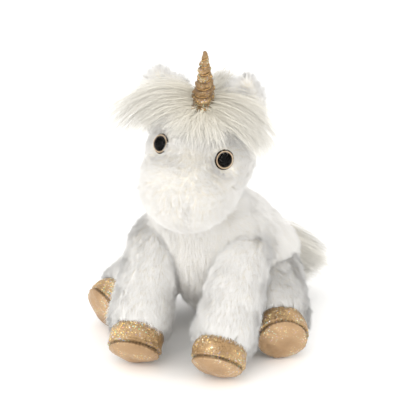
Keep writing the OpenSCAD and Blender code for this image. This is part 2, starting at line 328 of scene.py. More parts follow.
def stuff(obj, pressure=4.0, travel=4.0, steps=20):
    """Blows the cloth up from inside, as its stuffing does."""
    scene = bpy.context.scene
    before = get_points(obj.data)
    cloth = obj.modifiers.new("Stuffed", "CLOTH")
    s = cloth.settings
    s.quality = 5
    s.mass = 0.15
    s.tension_stiffness = s.compression_stiffness = 12
    s.shear_stiffness = 6
    s.bending_stiffness = 0.6
    s.use_pressure = True
    s.uniform_pressure_force = pressure
    s.effector_weights.gravity = 0
    cloth.collision_settings.use_self_collision = False
    cloth.point_cache.frame_start = 1
    cloth.point_cache.frame_end = steps
    for i in range(1, steps + 1):
        scene.frame_set(i)
    with_modifiers(obj)
    scene.frame_set(1)
    step = get_points(obj.data) - before
    far = np.linalg.norm(step, axis=1, keepdims=True)
    set_points(obj.data, before + step * np.minimum(1, travel / np.maximum(far, 1e-6)))
    return obj


def finer(obj, levels=1):
    sub = obj.modifiers.new("Finer", "SUBSURF")
    sub.levels = sub.render_levels = levels
    return with_modifiers(obj)


def mould(obj, change):
    """Moves every point of obj by what change(points, normals) gives."""
    points = get_points(obj.data)
    set_points(obj.data, points + change(points, get_normals(obj.data)))
    return obj


def paint(obj, name, light):
    """Keeps a value from 0 to 1 at every point of obj, which its material multiplies into its colour as
    painted shade.
    """
    layer = obj.data.color_attributes.new(name, "FLOAT_COLOR", "POINT")
    layer.data.foreach_set("color", np.repeat(light[:, None], 4, 1).astype(np.float32).ravel())


def above_floor(points, clear=FLOOR_CLEAR):
    points[..., 2] = np.maximum(points[..., 2], clear)
    return points


# ---------- strands: pile and long hair ----------

ROOT_DEPTH = 0.6  # how deep the pile's roots sit in the cloth


def scatter(mesh, per_mm2, seed):
    """Even, seeded places on a mesh, with the surface's smooth normal at each."""
    rng = np.random.default_rng(seed)
    mesh.calc_loop_triangles()
    tri = np.zeros(len(mesh.loop_triangles) * 3, np.int32)
    mesh.loop_triangles.foreach_get("vertices", tri)
    tri = tri.reshape(-1, 3)
    points, normals = get_points(mesh), get_normals(mesh)
    a, b, c = (points[tri[:, k]] for k in range(3))
    area = np.linalg.norm(np.cross(b - a, c - a), axis=1) / 2
    count = np.floor(area * per_mm2 + rng.random(len(area))).astype(int)
    which = np.repeat(np.arange(len(tri)), count)
    u, v = rng.random((2, len(which)))
    over = u + v > 1
    u[over], v[over] = 1 - u[over], 1 - v[over]
    w = np.stack([1 - u - v, u, v], 1)[:, :, None]
    place = (points[tri[which]] * w).sum(1)
    normal = unit((normals[tri[which]] * w).sum(1))
    return place, normal


def strand_faces(rings):
    """Faces of one three-sided strand: its sides, ring by ring, and its tip."""
    faces = []
    for r in range(rings - 1):
        for k in range(3):
            m = (k + 1) % 3
            faces.append((r * 3 + k, r * 3 + m, r * 3 + 3 + m, r * 3 + 3 + k))
    last = (rings - 1) * 3
    for k in range(3):
        faces.append((last + k, last + (k + 1) % 3, rings * 3))
    return faces


def strands(name, paths, width, normal, seed, flat=0.55, own=0.3):
    """One mesh of tapering three-sided strands.

    paths is (strands, steps, 3), and the last step is the tip. normal is what the light
    sees at each strand, and own the share of the strand's own round shape in it.
    """
    rng = np.random.default_rng(seed)
    n, steps = paths.shape[:2]
    way = unit(np.gradient(paths, axis=1))
    side = unit(np.cross(way, normal[:, None, :]) + 1e-6)
    up = np.cross(way, side)
    rings = steps - 1
    taper = np.linspace(1, 0.35, rings)[None, :, None] if rings > 1 else np.ones((1, 1, 1))
    half = width[:, None, None] / 2 * taper
    spin = rng.random(n)[:, None, None] * 2 * math.pi
    points = np.zeros((n, rings * 3 + 1, 3), np.float32)
    light = np.zeros_like(points)
    for k in range(3):
        a = spin + k * 2 * math.pi / 3
        out = np.cos(a) * side[:, :rings] + np.sin(a) * up[:, :rings] * flat
        points[:, k : rings * 3 : 3] = paths[:, :rings] + out * half
        light[:, k : rings * 3 : 3] = unit(normal[:, None, :] + own * unit(out))
    points[:, -1] = paths[:, -1]
    light[:, -1] = unit(normal + own * way[:, -1])
    above_floor(points)

    faces = strand_faces(rings)
    corner = np.array([i for f in faces for i in f])
    starts = np.cumsum([0] + [len(f) for f in faces[:-1]])
    per = rings * 3 + 1
    loops = (np.arange(n)[:, None] * per + corner[None]).ravel().astype(np.int32)
    loop_start = (np.arange(n)[:, None] * len(corner) + starts[None]).ravel().astype(np.int32)

    mesh = bpy.data.meshes.new(name)
    mesh.vertices.add(n * per)
    mesh.vertices.foreach_set("co", (points * MM).ravel())
    mesh.loops.add(len(loops))
    mesh.loops.foreach_set("vertex_index", loops)
    mesh.polygons.add(len(loop_start))
    mesh.polygons.foreach_set("loop_start", loop_start)
    mesh.update(calc_edges=True)
    mesh.polygons.foreach_set("use_smooth", [True] * len(mesh.polygons))
    along = np.append(np.repeat(np.linspace(0, 1, steps)[:-1], 3), 1.0)
    uv = np.zeros((n, per, 2), np.float32)
    uv[:, :, 0] = rng.random(n)[:, None]
    uv[:, :, 1] = along[None] * 0.98 + 0.01
    layer = mesh.uv_layers.new(name="OFBake")
    layer.data.foreach_set("uv", uv.reshape(-1, 2)[loops].ravel())
    mesh.normals_split_custom_set_from_vertices(light.reshape(-1, 3))
    return new_object(name, mesh)


def pile(name, skin, lay, seed, density=3.4, width=0.5, tuft=4.4, gather=0.62, facing=None, own=0.3):
    """Short pile over skin.

    lay(points, normals) gives the way it is combed, its length, its lean in degrees from
    upright and which strands stay. Strands within a tuft gather towards its middle.
    """
    place, normal = scatter(skin.data, density * (1), seed)
    comb, length, lean, stays = lay(place, normal)
    place, normal, comb = place[stays], normal[stays], comb[stays]
    length, lean = length[stays], lean[stays]
    rng = np.random.default_rng(seed + 1)
    n = len(place)
    comb = on_surface(comb + rng.normal(0, 0.22, (n, 3)) + 0.35 * swirl(place, seed), normal)
    length = length * rng.uniform(0.78, 1.12, n) * (1 + 0.12 * ripple(place, 13, seed))
    lean = np.radians(np.clip(lean + rng.normal(0, 7, n) + 11 * ripple(place, 12, seed + 5), 4, 84))
    toward = tuft_centres(place, tuft, seed) - place
    toward = toward - normal * dot(toward, normal)
    reach = normal * np.cos(lean)[:, None] + comb * np.sin(lean)[:, None]
    tip = place + reach * length[:, None] + toward * gather
    paths = np.stack([place - normal * ROOT_DEPTH, tip], 1)
    seen = facing(place, normal) if facing else normal
    return strands(name, paths, width * rng.uniform(0.75, 1.25, n), seen, seed + 2, own=own)


def swirl(points, seed):
    return np.stack([ripple(points, 26, seed + k) for k in (11, 12, 13)], 1)


# ---------- materials ----------


def srgb(r, g, b):
    """A colour as it looks on a screen, 0 to 255, as the shader's linear one."""
    c = np.array([r, g, b]) / 255
    return (*np.where(c <= 0.04045, c / 12.92, ((c + 0.055) / 1.055) ** 2.4), 1.0)


def material(name, colour, roughness, **sockets):
    m = bpy.data.materials.new(name)
    m.use_nodes = True
    shader = m.node_tree.nodes["Principled BSDF"]
    shader.inputs["Base Color"].default_value = colour
    shader.inputs["Roughness"].default_value = roughness
    for k, v in sockets.items():
        shader.inputs[k.replace("_", " ")].default_value = v
    return m, m.node_tree, shader


def node(tree, kind, **settings):
    made = tree.nodes.new(kind)
    for k, v in settings.items():
        setattr(made, k, v)
    return made


def ramp(tree, stops):
    """A colour ramp from (place, colour) pairs."""
    made = node(tree, "ShaderNodeValToRGB")
    elements = made.color_ramp.elements
    while len(elements) < len(stops):
        elements.new(0.5)
    for e, (at, colour) in zip(elements, stops):
        e.position = at
        e.color = colour
    return made


def hair_material(name, root, middle, tip, roughness=0.8, sheen=0.3, uneven=0.94):
    """Pile: each strand goes from root to tip in colour, darker and warmer at the root as painted shade deep
    in the pile, and strands differ a little.
    """
    m, tree, shader = material(name, middle, roughness, Sheen_Weight=sheen, Sheen_Roughness=0.5)
    shader.inputs["Specular IOR Level"].default_value = 0.25
    link = tree.links.new
    uv = node(tree, "ShaderNodeUVMap", uv_map="OFBake")
    split = node(tree, "ShaderNodeSeparateXYZ")
    link(uv.outputs["UV"], split.inputs[0])
    # painted shade: the ramp darkens each strand towards its root
    along = ramp(tree, ((0.0, root), (0.45, middle), (1.0, tip)))
    link(split.outputs["Y"], along.inputs["Fac"])
    grain = node(tree, "ShaderNodeTexWhiteNoise", noise_dimensions="1D")
    link(split.outputs["X"], grain.inputs["W"])
    shade = ramp(tree, ((0.0, (uneven, uneven, uneven, 1)), (1.0, (1, 1, 1, 1))))
    link(grain.outputs["Value"], shade.inputs["Fac"])
    mix = node(tree, "ShaderNodeMix", data_type="RGBA", blend_type="MULTIPLY")
    mix.inputs["Factor"].default_value = 1.0
    link(along.outputs["Color"], mix.inputs[6])
    link(shade.outputs["Color"], mix.inputs[7])
    link(mix.outputs[2], shader.inputs["Base Color"])
    return m


def mottle(tree, shader, scale, dark, light, detail=2):
    """Gives the shader a colour that wanders from dark to light, and returns the noise."""
    where = node(tree, "ShaderNodeTexCoord")
    noise = node(tree, "ShaderNodeTexNoise")
    noise.inputs["Scale"].default_value = scale
    noise.inputs["Detail"].default_value = detail
    tree.links.new(where.outputs["Object"], noise.inputs["Vector"])
    tones = ramp(tree, ((0.3, dark), (0.7, light)))
    tree.links.new(noise.outputs["Fac"], tones.inputs["Fac"])
    tree.links.new(tones.outputs["Color"], shader.inputs["Base Color"])
    return noise


def cloth_material(name, dark, light):
    """The knitted backing under the pile."""
    m, tree, shader = material(name, light, 0.95, Sheen_Weight=0.2)
    shader.inputs["Specular IOR Level"].default_value = 0.15
    link = tree.links.new
    noise = mottle(tree, shader, 900, dark, light, detail=3)
    bump = node(tree, "ShaderNodeBump")
    bump.inputs["Strength"].default_value = 0.5
    bump.inputs["Distance"].default_value = 0.0006
    link(noise.outputs["Fac"], bump.inputs["Height"])
    link(bump.outputs["Normal"], shader.inputs["Normal"])
    return m


def glitter_material(name, base, dark, grain, amount, tilt):
    """Gold fabric with flakes of foil: each flake has its own colour and its own tilt."""
    m, tree, shader = material(name, base, 0.42, Metallic=0.35)
    link = tree.links.new
    where = node(tree, "ShaderNodeTexCoord")
    flakes = node(tree, "ShaderNodeTexVoronoi", feature="F1")
    flakes.inputs["Scale"].default_value = grain
    link(where.outputs["Object"], flakes.inputs["Vector"])
    clouds = node(tree, "ShaderNodeTexNoise")
    clouds.inputs["Scale"].default_value = 45
    clouds.inputs["Detail"].default_value = 2
    link(where.outputs["Object"], clouds.inputs["Vector"])
    split = node(tree, "ShaderNodeSeparateColor")
    link(flakes.outputs["Color"], split.inputs[0])
    # which flakes are bright, more of them where the clouds are light
    chance = node(tree, "ShaderNodeMath", operation="MULTIPLY_ADD")
    chance.inputs[1].default_value = 1.3
    link(clouds.outputs["Fac"], chance.inputs[0])
    link(split.outputs[0], chance.inputs[2])
    bright = ramp(tree, ((1.22 - amount, (0, 0, 0, 1)), (1.32 - amount, (1, 1, 1, 1))))
    scaled = node(tree, "ShaderNodeMath", operation="MULTIPLY")
    scaled.inputs[1].default_value = 0.52
    link(chance.outputs[0], scaled.inputs[0])
    link(scaled.outputs[0], bright.inputs["Fac"])
    ground = ramp(tree, ((0.3, dark), (0.65, base)))
    link(clouds.outputs["Fac"], ground.inputs["Fac"])
    hues = ramp(
        tree,
        (
            (0.0, srgb(255, 206, 96)),
            (0.3, srgb(255, 230, 160)),
            (0.5, srgb(236, 240, 232)),
            (0.66, srgb(170, 226, 170)),
            (0.82, srgb(196, 184, 240)),
            (1.0, srgb(255, 176, 110)),
        ),
    )
    link(split.outputs[1], hues.inputs["Fac"])
    mix = node(tree, "ShaderNodeMix", data_type="RGBA")
    link(bright.outputs["Color"], mix.inputs["Factor"])
    link(ground.outputs["Color"], mix.inputs[6])
    link(hues.outputs["Color"], mix.inputs[7])
    # painted shade: seams, folds and edges are darkened by the values kept on the mesh
    painted_shade = node(tree, "ShaderNodeVertexColor", layer_name="painted_shade")
    darker = node(tree, "ShaderNodeMix", data_type="RGBA", blend_type="MULTIPLY")
    darker.inputs["Factor"].default_value = 1.0
    link(mix.outputs[2], darker.inputs[6])
    link(painted_shade.outputs["Color"], darker.inputs[7])
    link(darker.outputs[2], shader.inputs["Base Color"])
    # each flake tilts the surface its own way
    facing = node(tree, "ShaderNodeNewGeometry")
    centred = node(tree, "ShaderNodeVectorMath", operation="SUBTRACT")
    centred.inputs[1].default_value = (0.5, 0.5, 0.5)
    link(flakes.outputs["Color"], centred.inputs[0])
    leaned = node(tree, "ShaderNodeVectorMath", operation="SCALE")
    leaned.inputs["Scale"].default_value = tilt
    link(centred.outputs[0], leaned.inputs[0])
    added = node(tree, "ShaderNodeVectorMath", operation="ADD")
    link(facing.outputs["Normal"], added.inputs[0])
    link(leaned.outputs[0], added.inputs[1])
    whole = node(tree, "ShaderNodeVectorMath", operation="NORMALIZE")
    link(added.outputs[0], whole.inputs[0])
    link(whole.outputs[0], shader.inputs["Normal"])
    return m


# One white plush in two copies, as painted light and shade: the legs' and ears' copy is lighter, the
# torso's, neck's and head's copy a little darker.
LIT_WHITE_PILE = hair_material("lit_white_pile", srgb(252, 246, 232), srgb(255, 253, 249), srgb(255, 255, 253))
SHADED_BODY_PILE = hair_material("shaded_body_pile", srgb(248, 241, 226), srgb(252, 249, 242), srgb(253, 252, 250))
LONG_PILE = hair_material(
    "long_pile", srgb(226, 219, 201), srgb(240, 235, 222), srgb(248, 246, 239), uneven=0.88
)
BACKING = cloth_material("pile_backing", srgb(240, 234, 220), srgb(248, 244, 234))
GOLD_UPPER = glitter_material("gold_upper", srgb(196, 164, 122), srgb(156, 124, 84), 1150, 0.5, 0.8)
GOLD_SOLE = glitter_material("gold_sole", srgb(184, 153, 117), srgb(158, 127, 92), 1500, 0.41, 0.3)
GOLD_HORN = glitter_material("gold_horn", srgb(164, 134, 94), srgb(120, 92, 60), 1700, 0.46, 0.9)


# ---------- padded pieces with their pile ----------


def cloth_piece(obj, body, nodes, look=None):
    """A padded piece, which stands for the named nodes."""
    obj.data.materials.clear()
    obj.data.materials.append(look or BACKING)
    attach(obj, body)
    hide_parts(*nodes)


def pile_piece(obj, body, look=LIT_WHITE_PILE, nodes=()):
    """Strands, which stand for nodes of their own only where they are long hair."""
    obj.data.materials.append(look)
    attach(obj, body)
    if nodes:
        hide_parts(*nodes)


def near_eye(points):
    """Distance from the nearest eye's line of sight, over the front of the head only."""
    near = np.full(len(points), 99.0)
    for side in (-1, 1):
        p = local(eye_frame(side), points)
        d = np.hypot(p[:, 0], p[:, 1])
        near = np.where(p[:, 2] > 15, np.minimum(near, d), near)
    return near


# Torso


def make_torso():
    balls = [(RUMP, RUMP_R), (BACK, BACK_R), (CHEST, CHEST_R), (NECK, NECK_R - 2), (BIB, BIB_R)]
    balls += [(SHOULDER * [side, 1, 1], SHOULDER_R) for side in (-1, 1)]
    balls += [(HAUNCH * [side, 1, 1], HAUNCH_R) for side in (-1, 1)]
    points = np.concatenate([ball_points(centre, r - FLAT_RISE) for centre, r in balls])
    skin = stuff(form("torso_cloth", points, 4.5), pressure=3.0, travel=3.0)

    def settle(p, n):
        step = np.zeros_like(p)
        # the seat is pressed flat on the floor
        step[:, 2] = np.maximum(0.5 - p[:, 2], 0)
        # the legs' seams pull the cloth in round each leg
        for name in LEGS:
            d = leg_depth(p, name)
            step -= n * (1.2 * np.exp(-((d - 1.0) ** 2) / 18))[:, None]
        return step

    mould(finer(skin), settle)

    def lay(p, n):
        comb = np.stack([p[:, 0] * 0.004, np.full(len(p), 0.45), np.full(len(p), -0.9)], 1)
        near_leg = np.min([leg_depth(p, name) for name in LEGS], axis=0)
        buried = near_leg < -8
        buried |= head_depth(p) < -8
        buried |= (p[:, 2] < 2.5) & (n[:, 2] < -0.6)
        length = PILE * (0.5 + 0.5 * fade(near_leg, -7, 5))
        return comb, length, np.full(len(p), TORSO_LEAN), ~buried

    pile_piece(pile("torso_pile", skin, lay, 101, facing=body_facing), "torso", SHADED_BODY_PILE)
    cloth_piece(skin, "torso", ("torso_skin", "torso_stuffing"))


def make_seat():
    """The round panel that closes the seat over the pouch of pellets, puckered at its seam."""
    around, rings, puckers = 72, 10, 18
    points = []
    for t in np.linspace(0, 1, rings):
        for a in np.arange(around) * 2 * math.pi / around:
            pucker = 0.35 * math.cos(puckers * a) * fade(t, 0.7, 1.0)
            height = 0.45 + 0.5 * t**6 + max(pucker, 0)
            points.append((SEAT_R * t * math.cos(a), SEAT_R * t * math.sin(a), height))
    obj = new_object("seat_cloth", mesh_from("seat_cloth", points, ring_faces(rings, around)))
    cloth_piece(obj, "torso", ("seat_panel", "seat_pellet_pouch"))


# Neck


def make_neck():
    skin = stuff(form("neck_cloth", ball_points(NECK, NECK_R - PILE_RISE), 4.5), travel=2.0)
    finer(skin)

    def lay(p, n):
        comb = np.tile([0, 0.3, -0.95], (len(p), 1))
        stays = (torso_depth(p) > BURIED) & (head_depth(p) > BURIED)
        return comb, np.full(len(p), PILE), np.full(len(p), TORSO_LEAN), stays

    pile_piece(pile("neck_pile", skin, lay, 131), "neck", SHADED_BODY_PILE)
    cloth_piece(skin, "neck", ("neck_skin", "neck_stuffing"))


# Head

MOUTH_X = 9.0  # the crease below the nose


def make_head():
    balls = ((np.zeros(3), SKULL_R), (MUZZLE, MUZZLE_R))
    points = np.concatenate([ball_points(centre, r - PILE_RISE) for centre, r in balls])
    skin = finer(stuff(form("head_cloth", moved(HEAD, points), 4.2), travel=2.5))

    def features(p, n):
        q = local(HEAD, p)
        # sockets that the eyes' stalks pull in
        depth = 2.6 * np.exp(-((near_eye(p) / 10) ** 2))
        # the crease from the nose to the chin
        front = fade(-q[:, 1], 52, 66)
        below = fade(-q[:, 2], 14, 24)
        depth += 2.0 * np.exp(-(((q[:, 0] - MOUTH_X) / 3.6) ** 2)) * front * below
        # the bridge of the nose dips a little between the brow and the muzzle
        depth += 1.8 * np.exp(-(((q[:, 2] - 6) / 9) ** 2)) * fade(-q[:, 1], 30, 45)
        step = -n * depth[:, None]
        # nothing of the cloth stands in front of an eye
        for side in (-1, 1):
            e = local(eye_frame(side), p + step)
            over = np.maximum(e[:, 2] - (EYE_BASE - 2), 0)
            over *= 1 - fade(np.hypot(e[:, 0], e[:, 1]), EYE_R + 1, EYE_R + 7)
            step -= over[:, None] * eye_frame(side)[:3, 2]
        return step

    mould(skin, features)

    def lay(p, n):
        q = local(HEAD, p)
        under = fade(-q[:, 2], 24, 44)
        comb = np.zeros_like(q)
        comb[:, 2] = -1 + 0.8 * under
        comb[:, 1] = 0.35 + under
        # on the muzzle the pile runs to the crease and down
        muzzle = fade(-q[:, 1], 40, 66)
        beside = np.tanh((q[:, 0] - MOUTH_X) / 6) * np.exp(-(((q[:, 0] - MOUTH_X) / 20) ** 2))
        comb[:, 0] -= 0.9 * beside * muzzle * fade(-q[:, 2], 0, 20)
        # away from the eyes
        for side in (-1, 1):
            e = local(eye_frame(side), p)
            d = np.hypot(e[:, 0], e[:, 1])
            pull = np.exp(-((d / 15) ** 2)) * (e[:, 2] > 15)
            out = np.stack([e[:, 0], e[:, 1], 0 * d], 1) / np.maximum(d, 1)[:, None]
            comb += 1.6 * pull[:, None] * turned(np.linalg.inv(HEAD) @ eye_frame(side), out)
        eye = near_eye(p)
        length = PILE * (0.5 + 0.5 * fade(eye, 9, 26))
        length *= 1 - 0.3 * np.maximum(muzzle, under)
        length *= 1 - 0.2 * np.exp(-(((q[:, 0] - MOUTH_X) / 3.5) ** 2)) * muzzle * fade(-q[:, 2], 10, 22)
        # the forehead's pile is longer and lies flat under the forelock
        forehead = fade(q[:, 2], 10, 32) * fade(-q[:, 1], 8, 26) * fade(eye, 10, 20)
        length += 7 * forehead
        stays = eye > EYE_R - 0.2
        h = local(HORN, p)
        stays &= np.hypot(h[:, 0], h[:, 1]) > HORN_R - 1
        stays &= torso_depth(p) > BURIED
        lean = 50 - 4 * muzzle + 22 * forehead
        return turned(HEAD, comb), length, lean, stays

    pile_piece(pile("head_pile", skin, lay, 151, width=0.45), "head", SHADED_BODY_PILE)
    cloth_piece(skin, "head", ("head_skin", "head_stuffing"))


# Ears


def make_ear(side):
    name = "ear_left" if side > 0 else "ear_right"
    place = ear_frame(side)
    half = EAR_W / 2 - EAR_T / 2 + (0 if side > 0 else 3)
    balls = [((x, 0, z), EAR_T / 2) for z in (-6, EAR_H * 0.45) for x in (-half, half)]
    balls.append(((0, 0, EAR_H - 4), EAR_T / 2 - 1))
    points = np.concatenate([ball_points(centre, r, 60) for centre, r in balls])
    skin = finer(stuff(form(name + "_cloth", moved(place, points), 2.2), travel=1.5))

    def cup(p, n):
        q = local(place, p)
        hollow = np.exp(-((q[:, 0] / 8) ** 2)) * fade(q[:, 2], -2, 8)
        hollow *= 1 - fade(q[:, 2], EAR_H - 14, EAR_H - 2)
        step = np.zeros_like(q)
        step[:, 1] = (3.4 if side > 0 else 0.8) * hollow
        return turned(place, step)

    mould(skin, cup)

    def lay(p, n):
        q = local(place, p)
        comb = np.stack([q[:, 0] * 0.06, 0 * q[:, 0], np.full(len(q), 1.0)], 1)
        edge = fade(np.abs(q[:, 0]), 4, 11)
        length = 9.0 + 2.0 * edge
        lean = 44 - 8 * edge
        return turned(place, comb), length, lean, head_depth(p) > BURIED

    fur = pile(name + "_pile", skin, lay, 171 + side, density=4.0, width=0.42, tuft=4.5, gather=0.5, own=1.2)
    pile_piece(fur, "head")
    cloth_piece(skin, "head", (name + "_outer", name + "_lining"))


# Legs and hooves


def cuff_at(length):
    return length - HOOF_L


def seam_at(length):
    return length - SOLE_BULGE - 2


def slanted(ring, by=0.2):
    """The cuff reaches further down behind the hoof than in front of it."""
    ring[:, 2] -= by * ring[:, 1]
    return ring


def make_leg(name, seed):
    place, length, top = LEGS[name]
    cuff = cuff_at(length)
    points = np.concatenate(
        [
            ball_points(np.zeros(3), top - FLAT_RISE),
            ring_points(cuff - 14, 23.3),
            slanted(ring_points(cuff - 3, 24.0)),
            slanted(ring_points(cuff + 1, 21.5)),
        ]
    )
    skin = finer(stuff(form(name + "_leg_cloth", moved(place, points), 4.0), travel=2.0))

    def lay(p, n):
        q, m = local(place, p), turned(np.linalg.inv(place), n)
        comb = np.tile([0, 0, 1.0], (len(q), 1)) + m * 0.15
        end = fade(q[:, 2] + 0.2 * q[:, 1], cuff - 16, cuff)
        length_here = PILE + 2.0 * end
        # at the leg's closed top the pile stands up, so no cloth shows where it parts
        lean = 68 + 3 * end - 34 * fade(-m[:, 2], 0.6, 0.92)
        stays = torso_depth(p) > BURIED
        for other in LEGS:
            if other != name:
                stays &= leg_depth(p, other) > BURIED
        stays &= m[:, 2] < 0.75
        return turned(place, comb), length_here, lean, stays

    body = name + "_leg"
    pile_piece(pile(body + "_pile", skin, lay, seed, facing=body_facing), body)
    cloth_piece(skin, body, (body + "_skin", body + "_stuffing"))


def make_hoof(name, seed):
    place, length, _ = LEGS[name]
    cuff, seam = cuff_at(length), seam_at(length)
    points = [ring_points(cuff, HOOF_R - 3.2), ring_points(cuff + 6, HOOF_R - 1.2)]
    points += [ring_points(cuff + 12, HOOF_R - 0.8), ring_points(seam, HOOF_R - 1.6)]
    for i in range(6):
        a = math.pi / 2 * i / 6
        points.append(ring_points(seam + (SOLE_BULGE + 1.2) * math.sin(a), (HOOF_R - 1.8) * math.cos(a)))
    whole = form(name + "_hoof", moved(place, np.concatenate(points)), 2.4)
    finer(stuff(whole, pressure=5, travel=1.6), 2)
    rng = np.random.default_rng(seed)
    phase = rng.uniform(0, 2 * math.pi, 3)

    def sewn(p, n):
        q = local(place, p)
        around = np.arctan2(q[:, 1], q[:, 0])
        line = seam + 0.5 * np.sin(2 * around + phase[0])
        off = q[:, 2] - line
        rim = fade(np.hypot(q[:, 0], q[:, 1]), HOOF_R - 6, HOOF_R - 3)
        groove = -2.0 * np.exp(-((off / 1.0) ** 2)) * rim
        lips = 0.5 * np.exp(-(((np.abs(off) - 2.0) / 1.1) ** 2)) * rim
        waves = np.sin(around * 34 + phase[1]) + 0.6 * np.sin(around * 21 + phase[2])
        pucker = 0.28 * waves * np.exp(-((off / 3.0) ** 2)) * rim
        lumps = 0.5 * ripple(q, 16, seed) + 0.18 * ripple(q, 6, seed + 1)
        return n * (groove + lips + pucker + lumps)[:, None]

    # painted shade: darker along the seam's groove, stronger at each stitch, and towards the hoof's rounded
    # outer edge
    q = local(place, get_points(whole.data))
    off = np.abs(q[:, 2] - seam)
    wide = np.hypot(q[:, 0], q[:, 1])
    stitch = 0.5 + 0.5 * np.sin(np.arctan2(q[:, 1], q[:, 0]) * 46 + phase[1])
    dark = (0.4 + 0.2 * stitch) * np.exp(-((off / (0.7 + 0.4 * stitch)) ** 2))
    dark *= fade(wide, HOOF_R - 6, HOOF_R - 3)
    dark += 0.25 * fade(wide, HOOF_R - 6, HOOF_R) * (0.5 + 0.5 * ripple(q, 22, seed + 3))
    paint(whole, "painted_shade", np.clip(1 - dark, 0.15, 1))
    mould(whole, sewn)
    set_points(whole.data, above_floor(get_points(whole.data)))
    cut_hoof(whole, place, seam, name)


def cut_hoof(whole, place, seam, name):
    """Cuts a hoof's mesh along its seam into the upper and the sole."""
    centres = np.zeros(len(whole.data.polygons) * 3)
    whole.data.polygons.foreach_get("center", centres)
    upper = local(place, centres.reshape(-1, 3) / MM)[:, 2] < seam
    for cad_node, keeps, look in (
        (name + "_hoof_upper", upper, GOLD_UPPER),
        (name + "_hoof_sole", ~upper, GOLD_SOLE),
    ):
        mesh = whole.data.copy()
        bm = bmesh.new()
        bm.from_mesh(mesh)
        bm.faces.ensure_lookup_table()
        bmesh.ops.delete(bm, geom=[f for f in bm.faces if not keeps[f.index]], context="FACES")
        bm.to_mesh(mesh)
        bm.free()
        mesh.name = cad_node
        obj = new_object(cad_node + "_cloth", mesh)
        cloth_piece(obj, name + "_leg", (cad_node,), look)
    bpy.data.objects.remove(whole)


# Horn


def horn_radius(z):
    """Radius of the horn's cover at each height, without its pleats."""
    tip = 1.6
    straight = HORN_R - 0.6 + (tip + 1.0 - HORN_R) * (z - 8) / (HORN_H - 10.5)
    r = np.where(z < 8, HORN_R, straight)
    r = r + 1.8 * np.exp(-(((z - 3.4) / 1.7) ** 2))
    end = np.clip((HORN_H - z) / 3.0, 0, 1)
    return r * np.sqrt(1 - (1 - end) ** 2)


HORN_TURNS = 6
HORN_PITCH = 37 / HORN_TURNS
WOUND_FROM = 9  # height at which the thread's spiral starts


def horn_bend(z):
    """How far the horn's crooked middle line stands off at each height."""
    return 1.2 * np.sin(z / HORN_H * math.pi * 1.1)


def make_horn():
    around, up = 96, 190
    a = np.arange(around) * 2 * math.pi / around
    z = np.linspace(-3, HORN_H, up + 1)
    grid_z, grid_a = np.meshgrid(z, a, indexing="ij")
    phase = (grid_a / (2 * math.pi) - (grid_z - WOUND_FROM) / HORN_PITCH) % 1
    off = np.minimum(phase, 1 - phase) * HORN_PITCH
    wound = fade(grid_z, 7, 11) * (1 - fade(grid_z, HORN_H - 7, HORN_H - 3))
    r = horn_radius(grid_z)
    r = r * (1 + wound * (0.12 * np.sin(math.pi * phase) - 0.2 * np.exp(-((off / 0.9) ** 2))))
    pleated = np.exp(-(((grid_z - 3.0) / 2.6) ** 2))
    pleat = np.sin(grid_a * 14 + 0.6 * np.sin(3 * grid_a))
    r = r + 0.5 * pleated * pleat
    flat = np.stack([np.cos(grid_a) * r, np.sin(grid_a) * r, grid_z], -1)
    crush = 0.9 * ripple(flat.reshape(-1, 3), 8, 31) + 0.4 * ripple(flat.reshape(-1, 3), 3.2, 32)
    crush = crush.reshape(r.shape) * fade(grid_z, -2, 6) * (1 - fade(grid_z, HORN_H - 4, HORN_H))
    r = np.maximum(r + crush, 0.02)
    across = np.cos(grid_a) * r + horn_bend(grid_z)
    points = moved(HORN, np.stack([across, np.sin(grid_a) * r, grid_z], -1).reshape(-1, 3))
    obj = new_object("horn_cloth", mesh_from("horn_cloth", points, ring_faces(up + 1, around)))
    # painted shade: creases, pleats and the groove above the base ring are darker
    dark = 0.55 * wound * np.exp(-((off / 1.1) ** 2)) + 0.25 * pleated * (1 - pleat)
    dark += 0.5 * np.exp(-(((grid_z - 6.8) / 1.0) ** 2))
    dark *= fade(grid_z, -0.5, 2)
    paint(obj, "painted_shade", np.clip(1 - dark, 0.2, 1).ravel())
    cloth_piece(obj, "head", ("horn_cover", "horn_stuffing"), GOLD_HORN)

    # the thread that pinches the spiral
    turns = np.linspace(0, HORN_TURNS * 2 * math.pi, HORN_TURNS * 40)
    tz = WOUND_FROM + turns / (2 * math.pi) * HORN_PITCH
    tr = horn_radius(tz) * 0.86
    path = np.stack([np.cos(turns) * tr + horn_bend(tz), np.sin(turns) * tr, tz], 1)
    thread = tube("horn_winding", moved(HORN, path), 0.4, 8)
    thread.data.materials.append(THREAD)
    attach(thread, "head")
    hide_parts("horn_thread")


def tube(name, path, r, sides):
    """A twisted thread along path."""
    way = unit(np.gradient(path, axis=0))
    side = unit(np.cross(way, [0, 0, 1.0]))
    up = np.cross(side, way)
    twist = np.arange(len(path)) * 0.5
    points = []
    for k in range(sides):
        a = 2 * math.pi * k / sides
        bulge = 1 + 0.18 * np.cos(2 * (a + twist))
        points.append(path + r * bulge[:, None] * (math.cos(a) * side + math.sin(a) * up))
    points = np.stack(points, 1).reshape(-1, 3)
    faces = [f[::-1] for f in ring_faces(len(path), sides)]
    faces.append(tuple(range(sides)))
    faces.append(tuple((len(path) - 1) * sides + k for k in reversed(range(sides))))
    return new_object(name, mesh_from(name, points, faces))


def thread_material():
    m, tree, shader = material("gold_thread", srgb(190, 148, 92), 0.5, Metallic=0.5)
    mottle(tree, shader, 1500, srgb(160, 118, 70), srgb(214, 176, 118))
    return m


THREAD = thread_material()


# Eyes


